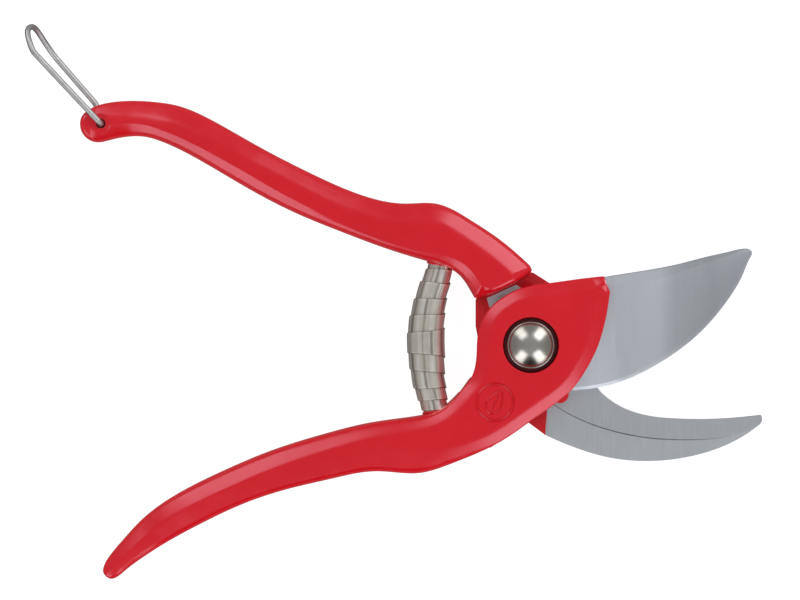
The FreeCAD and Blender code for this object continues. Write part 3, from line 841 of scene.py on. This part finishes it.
def paint_shadow_near(piece, line, material, reach):
    """Gives the sloping faces along a line a second, dark material, a painted shadow along the step there,
    and keeps the line crisp.
    """
    mesh = piece.data
    mesh.materials.append(material)
    centres = np.array([f.center[:] for f in mesh.polygons]) / MM
    slopes = np.array([f.normal[2] for f in mesh.polygons])
    ends = np.array([v.co[:] for v in mesh.vertices]) / MM
    on_line = (distance_to(ends[:, :2], line) < 0.4) & (ends[:, 2] > hook_top - 1)
    for edge in mesh.edges:
        if on_line[edge.vertices[0]] and on_line[edge.vertices[1]]:
            edge.use_edge_sharp = True
    near = distance_to(centres[:, :2], line) < reach
    for i in np.flatnonzero(near & (slopes > 0.3) & (slopes < 0.93) & (centres[:, 2] > hook_top - 1)):
        mesh.polygons[i].material_index = 1


# ---- pivot ----------------------------------------------------------------------------------------
def dome_bolt():
    """The pivot bolt: a shank, a rim with a fine groove, and a domed head."""
    rim = bolt_seat + 0.95
    groove = 0.09
    step = bolt_head_r - 0.58
    rise = bolt_top - rim
    ball = (step ** 2 + rise ** 2) / (2 * rise)
    half = math.degrees(math.asin(step / ball))
    dome = arc_points((0, bolt_top - ball), ball, 90 - half, 90, 40)
    profile = [(0, 0), (3.2, 0), (3.6, 0.25), (4.0, 0.7), (4.0, bolt_seat)]
    profile.append((bolt_head_r - 0.25, bolt_seat))
    profile += arc_points((bolt_head_r - 0.3, bolt_seat + 0.3), 0.3, -60, 0, 4)
    profile += arc_points((bolt_head_r - 0.35, rim - 0.35), 0.35, 0, 90, 7)
    profile += [(bolt_head_r - 0.42, rim - 0.02), (bolt_head_r - 0.44, rim - groove),
                (bolt_head_r - 0.53, rim - groove)]
    return turned("dome_bolt", profile + dome, sides=160)


def recessed_washer():
    """The washer that lines the floor of the recess, coloured dark red as painted shade of the recess floor.
    """
    low, high = low_of("head_washer"), high_of("head_washer")
    return turned("recessed_washer", [(4.1, low), (7.8, low), (7.9, low + 0.1), (7.9, high - 0.25),
                                      (7.75, high - 0.1), (7.2, high), (4.1, high), (4.1, low)])


# ---- spring ----------------------------------------------------------------------------------------
SPRING_ROWS = [  # turns, radius, reach up and reach down from the middle
    (0.0, 5.42, 1.2, 1.4), (0.7, 5.38, 3.3, 3.4), (1.7, 5.0, 8.2, 8.5), (2.7, 4.6, 12.9, 13.5),
    (3.7, 4.15, 17.8, 16.9), (4.7, 3.7, 21.9, 19.9), (5.7, 3.25, 24.4, 21.1), (5.95, 3.1, 24.6, 21.3)]
strip_thickness = 0.32
middle_height = 0.7


def volute_strip():
    """A strip wound inwards from its narrow end, so that its longer inner turns stand out at both ends."""
    axis = smooth_curve(SPRING_AXIS)
    line = axis(np.linspace(0, len(SPRING_AXIS) - 1, 600))
    along = np.concatenate([[0.0], np.cumsum(np.linalg.norm(np.diff(line, axis=0), axis=1))])
    middle = float(np.interp(-middle_height, -line[:, 1], along))
    rows = np.array(SPRING_ROWS)
    turns = np.linspace(0, rows[-1, 0], 460)
    radius, up, down = (np.interp(turns, rows[:, 0], rows[:, k]) for k in (1, 2, 3))
    across = np.linspace(-1, 1, 36)
    rings, marks = [], []
    for t, r, reach_up, reach_down in zip(turns, radius, up, down):
        a = math.radians(340 - 360 * t)
        reach = np.where(across < 0, reach_up, reach_down)
        s = np.clip(middle + across * reach, 0.02, along[-1] - 0.02)
        centre = np.column_stack([np.interp(s, along, line[:, k]) for k in (0, 1)])
        ahead, behind = (np.column_stack([np.interp(s + shift, along, line[:, k]) for k in (0, 1)])
                         for shift in (0.5, -0.5))
        forward = ahead - behind
        forward /= np.linalg.norm(forward, axis=1)[:, None]
        side = np.stack([-forward[:, 1], forward[:, 0]], axis=1)
        faces = [np.column_stack([centre + side * (r + shift) * math.cos(a),
                                  np.full(len(s), grip_middle + (r + shift) * math.sin(a))])
                 for shift in (strip_thickness / 2, -strip_thickness / 2)]
        rings.append(np.concatenate([faces[0], faces[1][::-1]]))
        inset = (1 - np.abs(across)) * reach
        marks.append(np.column_stack([np.full(2 * len(s), t), np.concatenate([inset, inset[::-1]])]))
    piece = swept("volute_strip", np.array(rings))
    marks = np.concatenate(marks)
    corners = piece.data.uv_layers.new(name="turns_and_inset").data
    for loop in piece.data.loops:
        corners[loop.index].uv = marks[loop.vertex_index]
    return piece


# ---- wire bail --------------------------------------------------------------------------------------
wire_r = 0.85
bail_side_gap = 0.15
bail_end_in = 3.0


def rounded_path(points, radii, steps=10):
    """Straight runs joined by tangent arcs, as points close together."""
    points = [np.array(p, float) for p in points]
    path = [points[0]]
    for before, corner, after, radius in zip(points, points[1:], points[2:], radii):
        into = (before - corner) / np.linalg.norm(before - corner)
        out = (after - corner) / np.linalg.norm(after - corner)
        half = math.acos(float(np.clip(into @ out, -1, 1))) / 2
        bisector = (into + out) / np.linalg.norm(into + out)
        centre = corner + bisector * radius / math.sin(half)
        first = corner + into * radius / math.tan(half) - centre
        last = corner + out * radius / math.tan(half) - centre
        sweep = math.pi - 2 * half
        for k in range(steps + 1):
            t = k / steps
            turn = first * math.sin((1 - t) * sweep) + last * math.sin(t * sweep)
            path.append(centre + turn / math.sin(sweep))
    path.append(points[-1])
    return np.array(path)


def tree_with(name, inputs):
    """An empty node tree with named inputs for sizes, and its input and output nodes."""
    tree = bpy.data.node_groups.new(name, "GeometryNodeTree")
    tree.interface.new_socket("Geometry", in_out="INPUT", socket_type="NodeSocketGeometry")
    for label, kind in inputs:
        tree.interface.new_socket(label, in_out="INPUT", socket_type=kind)
    tree.interface.new_socket("Geometry", in_out="OUTPUT", socket_type="NodeSocketGeometry")
    return tree, tree.nodes.new("NodeGroupInput"), tree.nodes.new("NodeGroupOutput")


def finish_tree(tree, geometry, out, material):
    """Ends a tree in Realize Instances and Set Material."""
    real = tree.nodes.new("GeometryNodeRealizeInstances")
    painted = tree.nodes.new("GeometryNodeSetMaterial")
    painted.inputs["Material"].default_value = material
    tree.links.new(geometry, real.inputs[0])
    tree.links.new(real.outputs[0], painted.inputs["Geometry"])
    tree.links.new(painted.outputs[0], out.inputs[0])


def grow(piece, tree, values):
    """Runs a node tree on a piece with the given sizes and keeps the plain mesh it makes."""
    step = piece.modifiers.new(tree.name, "NODES")
    step.node_group = tree
    sockets = {s.name: s.identifier for s in tree.interface.items_tree if s.in_out == "INPUT"}
    for label, value in values.items():
        step[sockets[label]] = value
    return settle(piece)


def bail_tree(material):
    """Sweeps a round wire along a path."""
    tree, given, out = tree_with("bent_wire", [("Wire Radius", "NodeSocketFloat"),
                                               ("Sides", "NodeSocketInt")])
    ring = tree.nodes.new("GeometryNodeCurvePrimitiveCircle")
    tree.links.new(given.outputs["Sides"], ring.inputs["Resolution"])
    tree.links.new(given.outputs["Wire Radius"], ring.inputs["Radius"])
    bar = tree.nodes.new("GeometryNodeCurveToMesh")
    bar.inputs["Fill Caps"].default_value = True
    tree.links.new(given.outputs["Geometry"], bar.inputs["Curve"])
    tree.links.new(ring.outputs["Curve"], bar.inputs["Profile Curve"])
    finish_tree(tree, bar.outputs["Mesh"], out, material)
    return tree


def wire_loop(material):
    """The bail: one wire bent into a loop, both ends turned into the hole."""
    x, y = BAIL_HOLE
    tip_half = UPPER_SLEEVE[3][2]
    front = grip_middle + tip_half + bail_side_gap + wire_r
    back = grip_middle - tip_half - bail_side_gap - wire_r
    middle = (front + back) / 2
    bow_points = [(x - 12.2, y + 13.0, front), (x - 15.2, y + 16.2, front), (x - 18.0, y + 19.2, front),
                  (x - 19.5, y + 21.0, front - 0.1), (x - 20.5, y + 23.4, front - 0.7),
                  (x - 21.2, y + 25.9, front - 2.0), (x - 21.1, y + 27.6, front - 3.4),
                  (x - 20.3, y + 28.2, middle + 1.3), (x - 19.1, y + 27.5, middle - 0.8),
                  (x - 17.6, y + 25.2, middle - 3.0), (x - 16.0, y + 22.7, back + 1.3),
                  (x - 14.4, y + 20.4, back + 0.3), (x - 12.6, y + 18.2, back), (x - 10.0, y + 15.2, back)]
    bow = smooth_curve(bow_points)
    first = rounded_path([(x, y, grip_middle + tip_half - bail_end_in), (x, y, front), bow_points[0]], [1.6])
    last = rounded_path([bow_points[-1], (x - 2.2, y + 6.2, back), (x, y, back),
                         (x, y, grip_middle - tip_half + bail_end_in)], [4.0, 1.6])
    path = np.concatenate([first[:-1], bow(np.linspace(0, len(bow_points) - 1, 140)), last[1:]]) * MM
    curve = bpy.data.curves.new("hanging_loop", "CURVE")
    curve.dimensions = "3D"
    spline = curve.splines.new("POLY")
    spline.points.add(len(path) - 1)
    spline.points.foreach_set("co", np.column_stack([path, np.ones(len(path))]).ravel())
    piece = bpy.data.objects.new("hanging_loop", curve)
    bpy.context.scene.collection.objects.link(piece)
    return grow(piece, bail_tree(material), {"Wire Radius": wire_r * MM, "Sides": 28})


# ---- stage --------------------------------------------------------------------------------------------
def pale_floor():
    """A plain white table just under the shears."""
    mesh = bpy.data.meshes.new("floor")
    size = 3.0
    corners = [(-size, -size, 0), (size, -size, 0), (size, size, 0), (-size, size, 0)]
    mesh.from_pydata(corners, [], [(0, 1, 2, 3)])
    floor = bpy.data.objects.new("floor", mesh)
    floor.location.z = -0.2 * MM
    bpy.context.scene.collection.objects.link(floor)
    s = Surface("white_table", Roughness=0.7, Specular_IOR_Level=0.1)
    s.colour(s.colours(s.pattern((60, 60, 60)), (0.3, (0.24, 0.24, 0.24)), (0.7, (0.27, 0.27, 0.27))))
    s.shader.inputs["Emission Color"].default_value = (1, 1, 1, 1)
    s.shader.inputs["Emission Strength"].default_value = 0.94
    mesh.materials.append(s.material)
    floor.visible_glossy = False


def soft_box(name, azimuth, elevation, distance, size, power):
    """A soft box that looks at the shears."""
    light = bpy.data.lights.new(name, "AREA")
    light.shape = "RECTANGLE"
    light.size, light.size_y = size
    light.energy = power
    light.color = (0.94, 0.96, 1.0)
    lamp = bpy.data.objects.new(name, light)
    a, e = math.radians(azimuth), math.radians(elevation)
    aim = np.array([-0.035, 0.01, 0.01])
    place = aim + distance * np.array([math.cos(a) * math.cos(e), math.sin(a) * math.cos(e), math.sin(e)])
    lamp.location = place
    lamp.rotation_mode = "QUATERNION"
    lamp.rotation_quaternion = Vector(aim - place).to_track_quat("-Z", "Y")
    bpy.context.scene.collection.objects.link(lamp)


def studio():
    """A white room, four soft boxes on the diagonals and one camera straight above."""
    for name, azimuth, power in (("box_ne", 47, 2.45), ("box_nw", 127, 1.85),
                                 ("box_sw", 234, 2.10), ("box_se", 309, 2.35)):
        soft_box(name, azimuth, 33, 0.85, (0.42, 0.68), power)
    world = bpy.data.worlds.new("white_room")
    world.use_nodes = True
    tree = world.node_tree
    direction = tree.nodes.new("ShaderNodeTexCoord").outputs["Generated"]

    def toward(way, start, end, low, high):
        """A brightness that changes between two angles from a direction."""
        dot = tree.nodes.new("ShaderNodeVectorMath")
        dot.operation = "DOT_PRODUCT"
        dot.inputs[1].default_value = way
        tree.links.new(direction, dot.inputs[0])
        node = tree.nodes.new("ShaderNodeMapRange")
        node.interpolation_type = "SMOOTHSTEP"
        for socket, number in (("From Min", start), ("From Max", end), ("To Min", low), ("To Max", high)):
            node.inputs[socket].default_value = number
        tree.links.new(dot.outputs["Value"], node.inputs["Value"])
        return node.outputs["Result"]

    front = toward((0, -0.966, 0.259), 0.78, 0.90, 1.0, 0.01)
    ceiling = toward((0, 0, 1), 0.80, 1.0, 0.36, 0.33)
    below = toward((0, 0, 1), -0.25, 0.12, 0.40, 1.0)
    brightness = front
    for share in (ceiling, below):
        node = tree.nodes.new("ShaderNodeMath")
        node.operation = "MULTIPLY"
        tree.links.new(brightness, node.inputs[0])
        tree.links.new(share, node.inputs[1])
        brightness = node.outputs[0]
    tree.nodes["Background"].inputs["Color"].default_value = (1, 1, 1, 1)
    tree.links.new(brightness, tree.nodes["Background"].inputs["Strength"])
    bpy.context.scene.world = world
    camera = bpy.data.cameras.new("camera")
    camera.lens = 200
    camera.sensor_width = 36
    view_width = 0.232
    eye = bpy.data.objects.new("camera", camera)
    eye.location = (-0.03785, 0.01305, 0.012 + view_width * camera.lens / camera.sensor_width)
    bpy.context.scene.collection.objects.link(eye)
    bpy.context.scene.camera = eye
    bpy.context.scene.view_settings.view_transform = "Standard"


# ---- the object ----------------------------------------------------------------------------------------
grip_red = moulded_red()
lever_red = coated_red()
# painted reflection and shade on the blade: lighter towards the pivot, darker towards the tip
BLADE_PAINTED_SHADE = ((0.0, 1.0), (0.30, 0.93), (0.48, 0.95), (0.58, 0.74), (0.78, 0.64), (1.0, 0.69))
hook_finish = ground_steel("satin_hook_steel", (0.60, 0.63, 0.66), (0.67, 0.70, 0.735), (0.16, 5, 5), 8,
                           (0.36, 0.46), cross=(0.2, 7, 7), depth=0.0025)
# painted shadow: a dark grey for the step faces along the hook's ground line
groove_painted_shadow = bright_metal("ground_line", (0.20, 0.21, 0.22), (0.28, 0.29, 0.30), (0.45, 0.6))
blade_finish = ground_steel("hollow_ground_steel", (0.86, 0.90, 0.96), (0.92, 0.955, 1.0), (0.14, 9, 9), -4,
                            (0.30, 0.38), painted_shade_along=(12, 64, BLADE_PAINTED_SHADE), depth=0.0012)
# painted shade: a dark red standing for the shaded floor of the recess round the bolt
recess_painted_shade = bright_metal("dark_red_recess_shade", (0.085, 0.026, 0.03), (0.13, 0.042, 0.048), (0.3, 0.45))
fastener_finish = bright_metal("zinc_plate", (0.45, 0.45, 0.46), (0.60, 0.60, 0.60), (0.28, 0.42))
nickel_finish = turned_nickel()
strip_finish = rolled_strip()
bronze_finish = bright_metal("sintered_bronze", (0.45, 0.26, 0.11), (0.56, 0.34, 0.16), (0.35, 0.5))
wire_finish = bright_metal("drawn_wire", (0.53, 0.52, 0.505), (0.62, 0.61, 0.595), (0.42, 0.55),
                           (0.3, 0.3, 0.3))

finish_piece(upper_sleeve(), grip_red, ROOT_BODY, ["upper_grip"], 40)
finish_piece(lower_cover(), grip_red, MOVING_BODY, ["lower_grip"], 40)
finish_piece(cutting_jaw(), blade_finish, MOVING_BODY, ["cutting_blade"], 5)
hook, ground_line = hook_jaw()
finish_piece(hook, hook_finish, ROOT_BODY, ["hook_blade"], 8)
paint_shadow_near(hook, ground_line, groove_painted_shadow, 0.6)
finish_piece(dome_bolt(), nickel_finish, ROOT_BODY, ["pivot_bolt"])
finish_piece(recessed_washer(), recess_painted_shade, ROOT_BODY, ["head_washer"])
finish_piece(wire_loop(wire_finish), wire_finish, "bail", ["wire_bail"], 60)

spring = finish_piece(volute_strip(), strip_finish, None, ["volute_spring"], 50)
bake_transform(spring)

# node, name, width of the softened edges, material, slot, body
EDGED = [
    ("upper_lever", "upper_lever_forging", 0.45, lever_red, "red_coated_metal", ROOT_BODY),
    ("lower_lever", "lower_lever_forging", 0.45, lever_red, "red_coated_metal", MOVING_BODY),
    ("nut_washer", "flat_washer", 0.10, fastener_finish, "fastener_steel", ROOT_BODY),
    ("pivot_nut", "locking_nut", 0.20, fastener_finish, "fastener_steel", ROOT_BODY),
    ("lock_plate", "locking_plate", 0.15, fastener_finish, "fastener_steel", ROOT_BODY),
    ("lock_screw", "locking_screw", 0.20, fastener_finish, "fastener_steel", ROOT_BODY),
    ("hook_rivets", "flush_rivets_hook", 0.12, fastener_finish, "fastener_steel", ROOT_BODY),
    ("blade_rivets", "flush_rivets_blade", 0.12, fastener_finish, "fastener_steel", MOVING_BODY),
    ("blade_dowel", "locating_dowel", 0.15, fastener_finish, "fastener_steel", MOVING_BODY),
    ("pivot_bush", "bearing_bush", 0.12, bronze_finish, "bronze", MOVING_BODY),
    ("upper_spring_peg", "spring_peg_upper", 0.2, fastener_finish, "fastener_steel", ROOT_BODY),
    ("lower_spring_peg", "spring_peg_lower", 0.2, fastener_finish, "fastener_steel", MOVING_BODY),
]
for node, name, width, material, slot, body in EDGED:
    piece = soften_edges(copy_of(node, name), width)
    finish_piece(piece, material, body, [node])

pale_floor()
studio()
